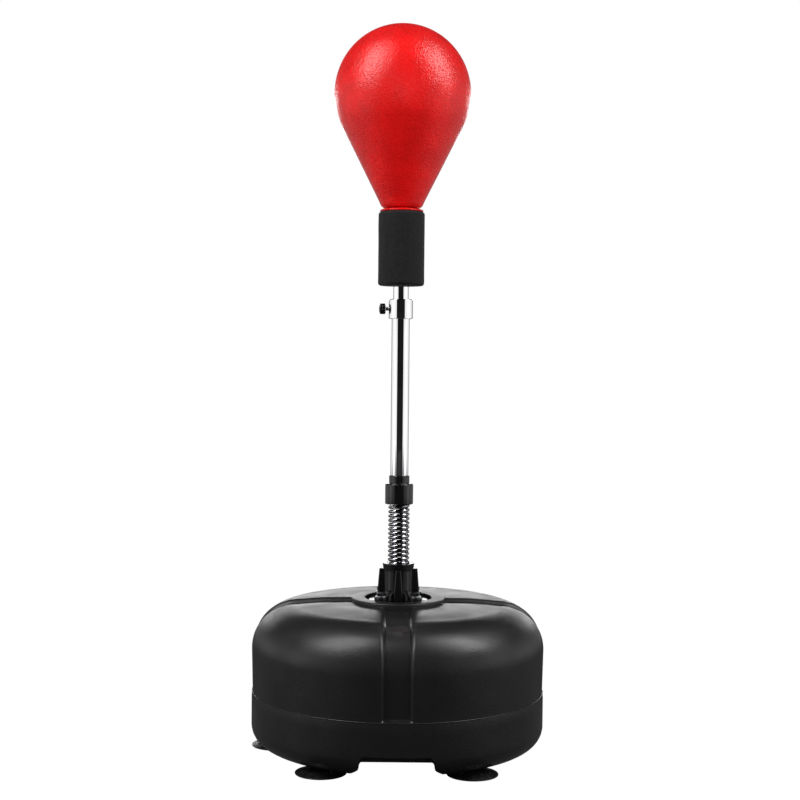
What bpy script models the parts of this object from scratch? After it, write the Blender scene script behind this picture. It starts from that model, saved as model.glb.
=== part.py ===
"""Free-standing boxing ball: a fillable base, a coil spring, a telescopic pole and a pear-shaped ball.

Metres, +Z up. The origin is on the floor under the pole's axis, and -Y is the front.
"""
import math

import bmesh
import bpy
from mathutils import Matrix, Vector

GAP = 0.0003  # between pieces that touch

# Base
BASE_RADIUS = 0.2285
SEAM_HEIGHT = 0.0920
SHOULDER_HEIGHT = 0.160
SHOULDER_RADIUS = 0.070
DECK_HEIGHT = SHOULDER_HEIGHT + SHOULDER_RADIUS
FOOT_HEIGHT = 0.010
FOOT_ROUNDING = 0.030
UNDERSIDE_HEIGHT = 0.025
SKIN = 0.004
RING_RADIUS = 0.073
RING_TOP = 0.236
WELL_RADIUS = 0.0525
WELL_FLOOR = 0.2245
CHANNEL_WIDTH = 0.045
CHANNEL_DEPTH = 0.008
NOTCH_WIDTH = 0.104
NOTCH_HEIGHT = 0.043
NOTCH_WALL = 0.185

# Suction cups
CUP_ANGLES = [math.radians(angle) for angle in (-126, -54, 18, 90, 180)]
CUP_CIRCLE = 0.190
CUP_RADIUS = 0.0385
CUP_STUD_RADIUS = 0.0060

# Filler, in the rear channel
FILLER_Y = 0.115
FILLER_RADIUS = 0.0140
CHANNEL_FLOOR = DECK_HEIGHT - CHANNEL_DEPTH + 0.0008

# Spring socket and its fasteners
FLANGE_BOTTOM = 0.2265
FLANGE_TOP = 0.2325
FLANGE_RADIUS = 0.0500
BOLT_CIRCLE = 0.038
BOSS_RADIUS = 0.010
BOSS_TOP = 0.240
BOLT_RADIUS = 0.0040
INSERT_BOTTOM = 0.2095
SOCKET_RADIUS = 0.0235
SOCKET_TOP = 0.290
SOCKET_FLOOR = 0.247
RIB_TOP = 0.281

# Spring
SPRING_RADIUS = 0.0170
WIRE_RADIUS = 0.0031
SPRING_PITCH = 0.00693
SPRING_BOTTOM = SOCKET_FLOOR + GAP
SPRING_BORE = 0.0175
SPRING_PLUG_RADIUS = 0.0100

# Collar and pole
COLLAR_BOTTOM = 0.3828
COLLAR_STEP = 0.4150
COLLAR_TOP = 0.4277
COLLAR_RADIUS = 0.0220
COLLAR_NECK_RADIUS = 0.0160
COLLAR_SEAT = 0.4120
LOWER_TUBE_BOTTOM = 0.4165
LOWER_TUBE_TOP = 0.6985
LOWER_TUBE_RADIUS = 0.0142
LOWER_TUBE_BORE = 0.0128
CLAMP_BOTTOM = 0.6726
CLAMP_TOP = 0.7031
CLAMP_RADIUS = 0.0190
CLAMP_AXIS_HEIGHT = 0.6881
SCREW_RADIUS = 0.0030
PAD_RADIUS = 0.0036
KNOB_RADIUS = 0.0085
KNOB_INNER = 0.0238
KNOB_OUTER = 0.0341
UPPER_TUBE_BOTTOM = 0.4600
UPPER_TUBE_TOP = 0.8800
UPPER_TUBE_RADIUS = 0.0122
UPPER_TUBE_BORE = 0.0110

# Foam sleeve and ball
FOAM_BOTTOM = 0.7241
FOAM_TOP = 0.8391
FOAM_RADIUS = 0.0365
BALL_TOP = 1.1294
BALL_RADIUS = 0.1065
BALL_CENTRE_HEIGHT = 1.0215
BALL_BOTTOM = 0.8442
BALL_NECK_RADIUS = 0.0270
BALL_SKIN = 0.0025
BLADDER_SKIN = 0.0012
BLADDER_CLEARANCE = 0.0018  # the flat facets of the skin need more room than a touching pair
MOUTH_RADIUS = 0.0155

BLACK_PLASTIC = ("black polyethylene", (0.020, 0.020, 0.021), 0.45, 0.0)
GLOSS_PLASTIC = ("gloss black plastic", (0.012, 0.012, 0.013), 0.18, 0.0)
CHROME = ("chrome", (0.80, 0.80, 0.80), 0.08, 1.0)
STEEL = ("zinc-plated steel", (0.55, 0.55, 0.56), 0.30, 1.0)
BRASS = ("brass", (0.72, 0.55, 0.28), 0.30, 1.0)
RUBBER = ("black rubber", (0.015, 0.015, 0.016), 0.60, 0.0)
FOAM = ("charcoal foam", (0.030, 0.030, 0.032), 0.90, 0.0)
LEATHER = ("red leatherette", (0.45, 0.01, 0.01), 0.38, 0.0)
LATEX = ("latex", (0.60, 0.45, 0.30), 0.50, 0.0)


def clear_scene():
    for thing in list(bpy.data.objects):
        bpy.data.objects.remove(thing, do_unlink=True)


def paint(thing, look):
    """Give an object its own Principled material."""
    label, colour, roughness, metallic = look
    material = bpy.data.materials.new(f"{thing.name} {label}")
    material.use_nodes = True
    shader = material.node_tree.nodes["Principled BSDF"]
    shader.inputs["Base Color"].default_value = (*colour, 1.0)
    shader.inputs["Roughness"].default_value = roughness
    shader.inputs["Metallic"].default_value = metallic
    thing.data.materials.append(material)


def finish_mesh(name, shape, look=None, at=(0, 0, 0)):
    """Turn a bmesh into an object, with its faces pointing out and its round sides smooth."""
    bmesh.ops.recalc_face_normals(shape, faces=shape.faces)
    mesh = bpy.data.meshes.new(name)
    shape.to_mesh(mesh)
    shape.free()
    mesh.shade_smooth()
    mesh.set_sharp_from_angle(angle=math.radians(35))
    thing = bpy.data.objects.new(name, mesh)
    bpy.context.collection.objects.link(thing)
    thing.location = at
    if look:
        paint(thing, look)
    return thing


def arc(centre, radius, start, end, count):
    """Points on an arc, in degrees, as (radius from the axis, height)."""
    points = []
    for step in range(count + 1):
        angle = math.radians(start + (end - start) * step / count)
        points.append((centre[0] + radius * math.cos(angle), centre[1] + radius * math.sin(angle)))
    return points


def turned_shape(outline, sides, closed):
    """Spin an outline of (radius, height) points about +Z."""
    shape = bmesh.new()
    corners = [shape.verts.new((radius, 0, height)) for radius, height in outline]
    pairs = list(zip(corners, corners[1:]))
    if closed:
        pairs.append((corners[-1], corners[0]))
    edges = [shape.edges.new(pair) for pair in pairs]
    bmesh.ops.spin(
        shape, geom=corners + edges, cent=(0, 0, 0), axis=(0, 0, 1),
        angle=math.tau, steps=sides, use_merge=True,
    )
    bmesh.ops.remove_doubles(shape, verts=shape.verts, dist=1e-6)
    return shape


def turned(name, outline, look=None, sides=32, closed=False, at=(0, 0, 0)):
    """A turned solid. An open outline starts and ends on the axis; a closed one is a ring."""
    return finish_mesh(name, turned_shape(outline, sides, closed), look, at)


def tube(name, outer, bore, bottom, top, look, sides=32):
    outline = [(bore, bottom), (outer, bottom), (outer, top), (bore, top)]
    return turned(name, outline, look, sides, closed=True)


def rod_outline(radius, bottom, top):
    return [(0, bottom), (radius, bottom), (radius, top), (0, top)]


def guide(thing):
    """Mark an object as a cutter or a shape that only joins another."""
    thing.hide_render = True
    thing.display_type = "WIRE"
    return thing


def boolean(thing, other, operation):
    modifier = thing.modifiers.new(f"{operation.lower()} {other.name}", "BOOLEAN")
    modifier.operation = operation
    modifier.object = guide(other)
    modifier.solver = "EXACT"


def cut(thing, other):
    boolean(thing, other, "DIFFERENCE")


def join(thing, other):
    boolean(thing, other, "UNION")


def ring_of(name, shape, angles):
    """Copies of a shape turned about +Z, in one mesh."""
    mesh = bpy.data.meshes.new(name)
    shape.to_mesh(mesh)
    shape.free()
    copies = bmesh.new()
    for angle in angles:
        mesh.transform(Matrix.Rotation(angle, 4, "Z"))
        copies.from_mesh(mesh)
        mesh.transform(Matrix.Rotation(-angle, 4, "Z"))
    return finish_mesh(name, copies)


def spaced(count, first=0.0):
    return [math.radians(first + 360 * index / count) for index in range(count)]


def prism(outline, width):
    """Extrude an outline in the plane of X (outwards) and Z across Y, centred."""
    shape = bmesh.new()
    face = shape.faces.new([shape.verts.new((x, -width / 2, z)) for x, z in outline])
    extruded = bmesh.ops.extrude_face_region(shape, geom=[face])
    moved = [item for item in extruded["geom"] if isinstance(item, bmesh.types.BMVert)]
    bmesh.ops.translate(shape, verts=moved, vec=(0, width, 0))
    return shape


def moved_rod(radius, bottom, top, x, sides):
    shape = turned_shape(rod_outline(radius, bottom, top), sides, closed=False)
    bmesh.ops.translate(shape, verts=shape.verts, vec=(x, 0, 0))
    return shape


def shoulder(inset, count):
    """The rounded shoulder, from the wall up to the deck, moved inwards by inset."""
    centre = (BASE_RADIUS - SHOULDER_RADIUS, SHOULDER_HEIGHT)
    return arc(centre, SHOULDER_RADIUS - inset, 0, 90, count)


def channel_cutter(name, depth, width, end_height):
    """The four grooves that run from the ring over the shoulder and down to the seam."""
    inner = RING_RADIUS + 0.0005
    floor = [(BASE_RADIUS - depth, end_height), *shoulder(depth, 7)]
    floor.append((inner, DECK_HEIGHT - depth + 0.0008))
    outside = [(inner, DECK_HEIGHT + 0.03), (BASE_RADIUS + 0.03, DECK_HEIGHT + 0.03)]
    outside.append((BASE_RADIUS + 0.03, end_height))
    return ring_of(name, prism(floor + outside, width), spaced(4))


def notch_cutter():
    """The grip notch in the front of the skirt, and the ledge behind it."""
    inner = 0.140
    below = -0.010
    outside = BASE_RADIUS + 0.02
    outline = [
        (inner, below), (inner, UNDERSIDE_HEIGHT), (NOTCH_WALL, UNDERSIDE_HEIGHT),
        (NOTCH_WALL, NOTCH_HEIGHT), (outside, NOTCH_HEIGHT), (outside, below),
    ]
    return ring_of("notch_guide", prism(outline, NOTCH_WIDTH), spaced(1, -90))


def tank_cavity():
    """The hollow for water or sand."""
    outline = [(0, WELL_FLOOR - 0.0195), (WELL_RADIUS + SKIN, WELL_FLOOR - 0.0195)]
    outline.append((WELL_RADIUS + SKIN, DECK_HEIGHT - SKIN))
    outline += reversed(shoulder(SKIN, 5))
    wall = BASE_RADIUS - SKIN - 0.001
    floor_edge = NOTCH_WALL - SKIN
    outline += [(wall, SEAM_HEIGHT), (wall, NOTCH_HEIGHT + SKIN), (floor_edge, NOTCH_HEIGHT + SKIN)]
    outline += [(floor_edge - 0.002, UNDERSIDE_HEIGHT + SKIN), (0, UNDERSIDE_HEIGHT + SKIN)]
    cavity = turned("tank_guide", outline, sides=36)
    channels = channel_cutter(
        "tank_channel_guide", CHANNEL_DEPTH + SKIN, CHANNEL_WIDTH + 2 * SKIN, SEAM_HEIGHT - SKIN
    )
    cut(cavity, channels)
    return cavity


def base_shell():
    outline = [(0, UNDERSIDE_HEIGHT), (0.1500, UNDERSIDE_HEIGHT), (0.1540, FOOT_HEIGHT)]
    foot_centre = (BASE_RADIUS - FOOT_ROUNDING, FOOT_HEIGHT + FOOT_ROUNDING)
    outline += arc(foot_centre, FOOT_ROUNDING, -90, 0, 5)
    outline += [(BASE_RADIUS, SEAM_HEIGHT - 0.0006), (BASE_RADIUS - 0.0014, SEAM_HEIGHT)]
    outline += shoulder(0, 8)
    outline += [(RING_RADIUS, DECK_HEIGHT + 0.0008), (RING_RADIUS, RING_TOP - 0.0012)]
    outline += [(RING_RADIUS - 0.0015, RING_TOP), (WELL_RADIUS, RING_TOP)]
    outline += [(WELL_RADIUS, WELL_FLOOR), (0, WELL_FLOOR)]
    base = turned("base_shell", outline, BLACK_PLASTIC, sides=48)
    cut(base, channel_cutter("channel_guide", CHANNEL_DEPTH, CHANNEL_WIDTH, SEAM_HEIGHT))
    cut(base, notch_cutter())
    cut(base, tank_cavity())
    stud_hole = moved_rod(CUP_STUD_RADIUS + GAP, -0.01, 0.0235, CUP_CIRCLE, 12)
    cut(base, ring_of("stud_hole_guide", stud_hole, CUP_ANGLES))
    insert_hole = moved_rod(0.0055 + GAP, INSERT_BOTTOM - GAP, 0.26, BOLT_CIRCLE, 16)
    cut(base, ring_of("insert_hole_guide", insert_hole, spaced(4, 45)))
    mouth = turned("filler_guide", rod_outline(FILLER_RADIUS, 0.195, 0.26), sides=24)
    mouth.location = (0, FILLER_Y, 0)
    cut(base, mouth)
    return base


def suction_cups():
    outline = [
        (0, 0.0055), (0.0200, 0.0040), (0.0335, 0.0014), (0.0360, 0), (CUP_RADIUS, 0),
        (CUP_RADIUS, 0.0012), (0.0300, 0.0040), (0.0160, 0.0080), (0.0095, 0.0096),
        (CUP_STUD_RADIUS, 0.0096), (CUP_STUD_RADIUS, 0.0220), (0, 0.0225),
    ]
    for index, angle in enumerate(CUP_ANGLES, start=1):
        place = (CUP_CIRCLE * math.cos(angle), CUP_CIRCLE * math.sin(angle), 0)
        turned(f"suction_cup_{index}", outline, RUBBER, sides=18, at=place)


def filler_parts():
    """The filler cap, with its origin on the filler's axis, and the washer under it."""
    seal_bottom = CHANNEL_FLOOR + GAP
    seal_top = seal_bottom + 0.0015
    seal = turned(
        "filler_seal",
        [(0.0136, seal_bottom), (0.0175, seal_bottom), (0.0175, seal_top), (0.0136, seal_top)],
        RUBBER, sides=24, closed=True, at=(0, FILLER_Y, 0),
    )
    flange = seal_top + GAP
    outline = [
        (0, 0.2145), (0.0118, 0.2145), (0.0130, 0.2160), (0.0130, flange), (0.0180, flange),
        (0.0180, flange + 0.0030), (0.0170, flange + 0.0040), (0.0060, flange + 0.0040),
        (0.0060, flange + 0.0065), (0, flange + 0.0065),
    ]
    cap = turned("filler_cap", outline, BLACK_PLASTIC, sides=24, at=(0, FILLER_Y, 0))
    return cap, seal


def wedge(inner, top_reach, foot_reach, bottom, top, half_top, half_foot):
    """A block that gets wider and reaches further out towards its foot."""
    shape = bmesh.new()
    corners = []
    for reach, half, height in ((foot_reach, half_foot, bottom), (top_reach, half_top, top)):
        for x, y in ((inner, -half), (reach, -half), (reach, half), (inner, half)):
            corners.append(shape.verts.new((x, y, height)))
    faces = [(3, 2, 1, 0), (4, 5, 6, 7), (0, 1, 5, 4), (1, 2, 6, 5), (2, 3, 7, 6), (3, 0, 4, 7)]
    for face in faces:
        shape.faces.new([corners[index] for index in face])
    return shape


def spring_socket():
    neck_bottom = FLANGE_BOTTOM + 0.0080
    bolt_bore = 0.0053
    outline = [
        (0.0110, FLANGE_BOTTOM + 0.001), (0.0300, FLANGE_BOTTOM + 0.001), (0.0300, FLANGE_TOP - 0.001),
        (0.0262, FLANGE_TOP + 0.002), (SOCKET_RADIUS, 0.2460), (SOCKET_RADIUS, 0.2835),
        (0.0250, 0.2865), (0.0250, SOCKET_TOP - 0.001), (0.0242, SOCKET_TOP),
        (SPRING_BORE, SOCKET_TOP), (SPRING_BORE, SOCKET_FLOOR), (bolt_bore, SOCKET_FLOOR),
        (bolt_bore, neck_bottom), (0.0110, neck_bottom),
    ]
    socket = turned("spring_socket", outline, GLOSS_PLASTIC, sides=28, closed=True)
    flange_outline = [
        (0.0240, FLANGE_BOTTOM), (FLANGE_RADIUS, FLANGE_BOTTOM), (FLANGE_RADIUS, FLANGE_TOP - 0.001),
        (FLANGE_RADIUS - 0.001, FLANGE_TOP), (0.0240, FLANGE_TOP),
    ]
    flange = turned("flange_guide", flange_outline, sides=8, closed=True)
    flange.rotation_euler.z = math.radians(22.5)
    join(socket, flange)
    rib = wedge(0.0200, 0.0300, 0.0340, FLANGE_TOP - 0.002, RIB_TOP, 0.0040, 0.0075)
    join(socket, ring_of("rib_guide", rib, spaced(4)))
    lug = wedge(0.0215, 0.0330, 0.0350, FLANGE_TOP - 0.0015, 0.2440, 0.0022, 0.0026)
    lug_angles = [angle + side * math.radians(22) for angle in spaced(4) for side in (-1, 1)]
    join(socket, ring_of("lug_guide", lug, lug_angles))
    boss = moved_rod(BOSS_RADIUS, FLANGE_BOTTOM + 0.0015, BOSS_TOP, BOLT_CIRCLE, 16)
    join(socket, ring_of("boss_guide", boss, spaced(4, 45)))
    hole = moved_rod(BOLT_RADIUS + GAP, FLANGE_BOTTOM - 0.01, BOSS_TOP + 0.01, BOLT_CIRCLE, 12)
    cut(socket, ring_of("bolt_hole_guide", hole, spaced(4, 45)))
    return socket


def socket_gasket():
    gasket = tube("socket_gasket", 0.0505, 0.0140, WELL_FLOOR + GAP, FLANGE_BOTTOM - GAP, RUBBER, 24)
    hole = moved_rod(BOLT_RADIUS + GAP, WELL_FLOOR - 0.01, FLANGE_BOTTOM + 0.01, BOLT_CIRCLE, 12)
    cut(gasket, ring_of("gasket_hole_guide", hole, spaced(4, 45)))
    return gasket


def hex_bolt_mesh():
    """A flat-topped hexagon bolt, drawn on its own axis at its real height."""
    head_bottom = BOSS_TOP + GAP + 0.0014 + GAP
    shank = turned("shank_guide", rod_outline(BOLT_RADIUS, INSERT_BOTTOM + 0.0020, head_bottom + 0.002), sides=12)
    head = turned("hex_bolt_guide", rod_outline(0.0072, head_bottom, head_bottom + 0.0055), sides=6)
    join(head, shank)
    guide(head)
    bpy.context.view_layer.update()
    evaluated = head.evaluated_get(bpy.context.evaluated_depsgraph_get())
    return bpy.data.meshes.new_from_object(evaluated)


def socket_fasteners():
    """Four bolts, each with a washer and a brass insert moulded into the well's floor."""
    bolt_mesh = hex_bolt_mesh()
    for index, angle in enumerate(spaced(4, 45), start=1):
        place = (BOLT_CIRCLE * math.cos(angle), BOLT_CIRCLE * math.sin(angle), 0)
        bolt = bpy.data.objects.new(f"socket_bolt_{index}", bolt_mesh.copy())
        bpy.context.collection.objects.link(bolt)
        bolt.location = place
        paint(bolt, GLOSS_PLASTIC)
        washer = tube(
            f"socket_washer_{index}", 0.0085, BOLT_RADIUS + GAP, BOSS_TOP + GAP,
            BOSS_TOP + GAP + 0.0014, STEEL, 12,
        )
        washer.location = place
        insert = tube(
            f"socket_insert_{index}", 0.0055, BOLT_RADIUS + GAP, INSERT_BOTTOM,
            WELL_FLOOR - GAP, BRASS, 12,
        )
        insert.location = place


def spring_plugs():
    """The two steel plugs that the spring's ends are swaged on, and the bolts that hold them."""
    turned("lower_spring_plug", rod_outline(SPRING_PLUG_RADIUS, SOCKET_FLOOR + GAP, 0.2780), STEEL, 24)
    head_top = FLANGE_BOTTOM + 0.0080 - GAP
    bolt = [
        (0, FLANGE_BOTTOM + 0.0005), (0.0095, FLANGE_BOTTOM + 0.0005), (0.0095, head_top),
        (0.0050, head_top), (0.0050, SOCKET_FLOOR), (0, SOCKET_FLOOR),
    ]
    turned("spring_bolt", bolt, STEEL, 16)
    turned("upper_spring_plug", rod_outline(SPRING_PLUG_RADIUS, 0.3900, COLLAR_SEAT - GAP), STEEL, 24)


def coil_spring():
    """Round wire on a right-hand helix, with closed ends of the same pitch."""
    coil_radius = SPRING_RADIUS - WIRE_RADIUS
    first = SPRING_BOTTOM + WIRE_RADIUS
    last = COLLAR_SEAT - GAP - WIRE_RADIUS
    steps_per_turn = 10
    count = round((last - first) / SPRING_PITCH * steps_per_turn)
    curve = bpy.data.curves.new("coil_spring", "CURVE")
    curve.dimensions = "3D"
    curve.bevel_depth = WIRE_RADIUS
    curve.bevel_resolution = 1
    curve.use_fill_caps = True
    curve.render_resolution_u = 0
    spline = curve.splines.new("POLY")
    spline.points.add(count)
    for step, point in enumerate(spline.points):
        angle = math.tau * step / steps_per_turn
        height = first + (last - first) * step / count
        point.co = (coil_radius * math.cos(angle), coil_radius * math.sin(angle), height, 1)
    spring = bpy.data.objects.new("coil_spring", curve)
    bpy.context.collection.objects.link(spring)
    paint(spring, CHROME)
    return spring


def spring_collar():
    outline = [
        (SPRING_BORE, COLLAR_BOTTOM), (COLLAR_RADIUS - 0.0010, COLLAR_BOTTOM),
        (COLLAR_RADIUS, COLLAR_BOTTOM + 0.0010), (COLLAR_RADIUS, COLLAR_STEP - 0.0015),
        (COLLAR_RADIUS - 0.0015, COLLAR_STEP), (COLLAR_NECK_RADIUS, COLLAR_STEP),
        (COLLAR_NECK_RADIUS, COLLAR_TOP - 0.0006), (COLLAR_NECK_RADIUS - 0.0006, COLLAR_TOP),
        (LOWER_TUBE_RADIUS + GAP, COLLAR_TOP), (LOWER_TUBE_RADIUS + GAP, LOWER_TUBE_BOTTOM - GAP),
        (0.0053, LOWER_TUBE_BOTTOM - GAP), (0.0053, COLLAR_SEAT), (SPRING_BORE, COLLAR_SEAT),
    ]
    return turned("spring_collar", outline, GLOSS_PLASTIC, 28, closed=True)


def tube_plug():
    """The plug in the pole's foot, with a stem through the collar's web to the spring plug."""
    outline = [
        (0, COLLAR_SEAT), (0.0050, COLLAR_SEAT), (0.0050, LOWER_TUBE_BOTTOM),
        (LOWER_TUBE_BORE - GAP, LOWER_TUBE_BOTTOM), (LOWER_TUBE_BORE - GAP, 0.4390), (0, 0.4390),
    ]
    return turned("tube_plug", outline, STEEL, 32)


def side_hole(thing, name, radius, inner, outer):
    """A hole along X on the clamp screw's side, between two distances from the pole's axis."""
    cutter = turned(name, rod_outline(radius, inner, outer), sides=12)
    cutter.rotation_euler = (0, -math.pi / 2, 0)
    cutter.location = (0, 0, CLAMP_AXIS_HEIGHT)
    cut(thing, cutter)


def pole_parts():
    lower = tube("lower_tube", LOWER_TUBE_RADIUS, LOWER_TUBE_BORE, LOWER_TUBE_BOTTOM, LOWER_TUBE_TOP, CHROME)
    side_hole(lower, "tube_hole_guide", PAD_RADIUS + 0.0006, 0.006, 0.03)
    lip_bore = UPPER_TUBE_RADIUS + 0.0004
    tube_bore = LOWER_TUBE_RADIUS + GAP
    outline = [
        (tube_bore, CLAMP_BOTTOM), (CLAMP_RADIUS - 0.0008, CLAMP_BOTTOM),
        (CLAMP_RADIUS, CLAMP_BOTTOM + 0.0008), (CLAMP_RADIUS, CLAMP_TOP - 0.0008),
        (CLAMP_RADIUS - 0.0008, CLAMP_TOP), (lip_bore, CLAMP_TOP),
        (lip_bore, LOWER_TUBE_TOP + GAP), (tube_bore, LOWER_TUBE_TOP + GAP),
    ]
    collar = turned("clamp_collar", outline, CHROME, 28, closed=True)
    side_hole(collar, "pad_hole_guide", PAD_RADIUS + 0.0006, 0.006, 0.0165)
    side_hole(collar, "screw_hole_guide", SCREW_RADIUS + GAP, 0.006, 0.03)
    return lower, collar


def across(name, outline, look, sides):
    """A turned piece on the clamp's axis, with its outline's heights counted outwards along -X."""
    piece = turned(name, outline, look, sides)
    piece.rotation_euler = (0, -math.pi / 2, 0)
    piece.location = (0, 0, CLAMP_AXIS_HEIGHT)
    return piece


def clamp_parts():
    """The pad, the screw and its knob, each with its origin on the screw's axis."""
    pad_inner = UPPER_TUBE_RADIUS + GAP
    pad_outer = pad_inner + 0.0020
    across("clamp_pad", rod_outline(PAD_RADIUS, pad_inner, pad_outer), BRASS, 12)
    across("clamp_screw", rod_outline(SCREW_RADIUS, pad_outer + GAP, KNOB_INNER - GAP), STEEL, 12)
    waist = KNOB_RADIUS - 0.0012
    outline = [
        (0, KNOB_INNER), (0.0068, KNOB_INNER), (KNOB_RADIUS, KNOB_INNER + 0.0015),
        (KNOB_RADIUS, KNOB_INNER + 0.0040), (waist, KNOB_INNER + 0.0052),
        (KNOB_RADIUS, KNOB_INNER + 0.0064), (0.0078, KNOB_OUTER - 0.0012),
        (0.0055, KNOB_OUTER - 0.0003), (0, KNOB_OUTER),
    ]
    across("clamp_knob", outline, GLOSS_PLASTIC, 24)


def upper_pole_parts():
    tube(
        "upper_tube", UPPER_TUBE_RADIUS, UPPER_TUBE_BORE, UPPER_TUBE_BOTTOM, UPPER_TUBE_TOP, CHROME,
    )
    spigot = UPPER_TUBE_BORE - GAP
    end_plug = [
        (0, UPPER_TUBE_BOTTOM - 0.0035), (UPPER_TUBE_RADIUS, UPPER_TUBE_BOTTOM - 0.0035),
        (UPPER_TUBE_RADIUS, UPPER_TUBE_BOTTOM - GAP), (spigot, UPPER_TUBE_BOTTOM - GAP),
        (spigot, UPPER_TUBE_BOTTOM + 0.0150), (0, UPPER_TUBE_BOTTOM + 0.0150),
    ]
    turned("tube_end_plug", end_plug, BLACK_PLASTIC, 32)
    tube("tube_top_nut", spigot, 0.0053, 0.8620, UPPER_TUBE_TOP, STEEL)


def foam_sleeve():
    bore = UPPER_TUBE_RADIUS + GAP
    rounding = 0.003
    outline = [(bore, FOAM_BOTTOM)]
    outline += arc((FOAM_RADIUS - rounding, FOAM_BOTTOM + rounding), rounding, -90, 0, 2)
    outline += arc((FOAM_RADIUS - rounding, FOAM_TOP - rounding), rounding, 0, 90, 2)
    outline.append((bore, FOAM_TOP))
    return turned("foam_sleeve", outline, FOAM, 28, closed=True)


def ball_outline(inset, arc_steps):
    """The pear: a near-spherical top that runs into a straight cone, from the neck up to the crown."""
    radius = BALL_RADIUS - inset
    cone_angle = 26.6
    bottom = BALL_BOTTOM + inset
    neck = BALL_NECK_RADIUS - 0.45 * inset
    centre = (0, BALL_CENTRE_HEIGHT)
    crown_stretch = (BALL_TOP - inset - BALL_CENTRE_HEIGHT) / radius
    points = [(neck - 0.004, bottom), (neck + 0.002, bottom + 0.004)]
    for r, height in arc(centre, radius, -cone_angle, 90, arc_steps):
        lift = height - BALL_CENTRE_HEIGHT
        points.append((max(r, 0.0), BALL_CENTRE_HEIGHT + lift * (crown_stretch if lift > 0 else 1)))
    points[-1] = (0, points[-1][1])
    return points


def hollow_ball(name, inset, skin, mouth, look, sides, arc_steps):
    """A thin shell with a round mouth at the bottom, as one ring-ended outline from axis to axis."""
    outside = ball_outline(inset, arc_steps)
    inside = ball_outline(inset + skin, arc_steps)
    outline = list(reversed(outside))
    outline += [(mouth, outside[0][1]), (mouth, inside[0][1])]
    outline += inside
    return turned(name, outline, look, sides)


def ball_parts():
    """The leatherette skin and its skirt, the bladder in it, and the disc and stud that carry it."""
    hollow_ball("ball_skin", 0, BALL_SKIN, MOUTH_RADIUS, LEATHER, 28, 11)
    skirt_top = BALL_BOTTOM - GAP
    skirt_bottom = FOAM_TOP + GAP
    skirt = [
        (MOUTH_RADIUS, skirt_bottom), (0.0335, skirt_bottom), (0.0344, skirt_bottom + 0.0012),
        (0.0335, skirt_bottom + 0.0026), (0.0240, skirt_top), (MOUTH_RADIUS, skirt_top),
    ]
    turned("ball_skirt_ring", skirt, LEATHER, 24, closed=True)
    disc_bottom = UPPER_TUBE_TOP + GAP
    disc = [
        (0.0053, disc_bottom), (0.0300, disc_bottom), (0.0320, disc_bottom + 0.0030),
        (0.0300, disc_bottom + 0.0060), (0.0053, disc_bottom + 0.0060),
    ]
    turned("ball_mount_disc", disc, BLACK_PLASTIC, 24, closed=True)
    head = disc_bottom + 0.0060 + GAP
    stud = [
        (0, 0.8640), (0.0050, 0.8640), (0.0050, head), (0.0085, head),
        (0.0085, head + 0.0050), (0, head + 0.0050),
    ]
    turned("ball_stud", stud, STEEL, 12)
    bladder = hollow_bladder()
    return bladder


def hollow_bladder():
    """The balloon above the mount disc, open at its crown for the valve."""
    gap = BALL_SKIN + BLADDER_CLEARANCE
    floor = 0.8990
    valve = 0.0040
    layers = []
    for inset in (gap, gap + BLADDER_SKIN):
        rise = 0.45 * (floor - BALL_BOTTOM)
        side = [(r, h) for r, h in ball_outline(inset, 8) if h > floor + 0.02 and r > valve]
        base = floor + inset - gap
        reach = BALL_NECK_RADIUS + rise - inset - 0.004
        top = BALL_TOP - inset
        layers.append([(0, base), (reach, base), *side, (valve, top)])
    outside, inside = layers
    turned("ball_bladder", outside + list(reversed(inside)), LATEX, 20)
    valve_radius = valve - GAP
    low = BALL_TOP - gap - BLADDER_SKIN - 0.0090
    outline = [
        (0, low), (valve_radius, low), (valve_radius, BALL_TOP - gap), (0, BALL_TOP - gap),
    ]
    return turned("bladder_valve", outline, RUBBER, 12)


def main():
    clear_scene()
    base_shell()
    suction_cups()
    filler_parts()
    spring_socket()
    socket_gasket()
    socket_fasteners()
    spring_plugs()
    coil_spring()
    spring_collar()
    tube_plug()
    pole_parts()
    clamp_parts()
    upper_pole_parts()
    foam_sleeve()
    ball_parts()


main()
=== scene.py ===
"""Boxing ball stand: the finished look of a fillable base, a coil spring, a chromed pole and a red ball.

Laid out as a Blender add-on and run as a script. Metres, +Z up, -Y is the front.
"""
import math

import bmesh
import bpy
from mathutils import Matrix, Vector, noise


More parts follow.
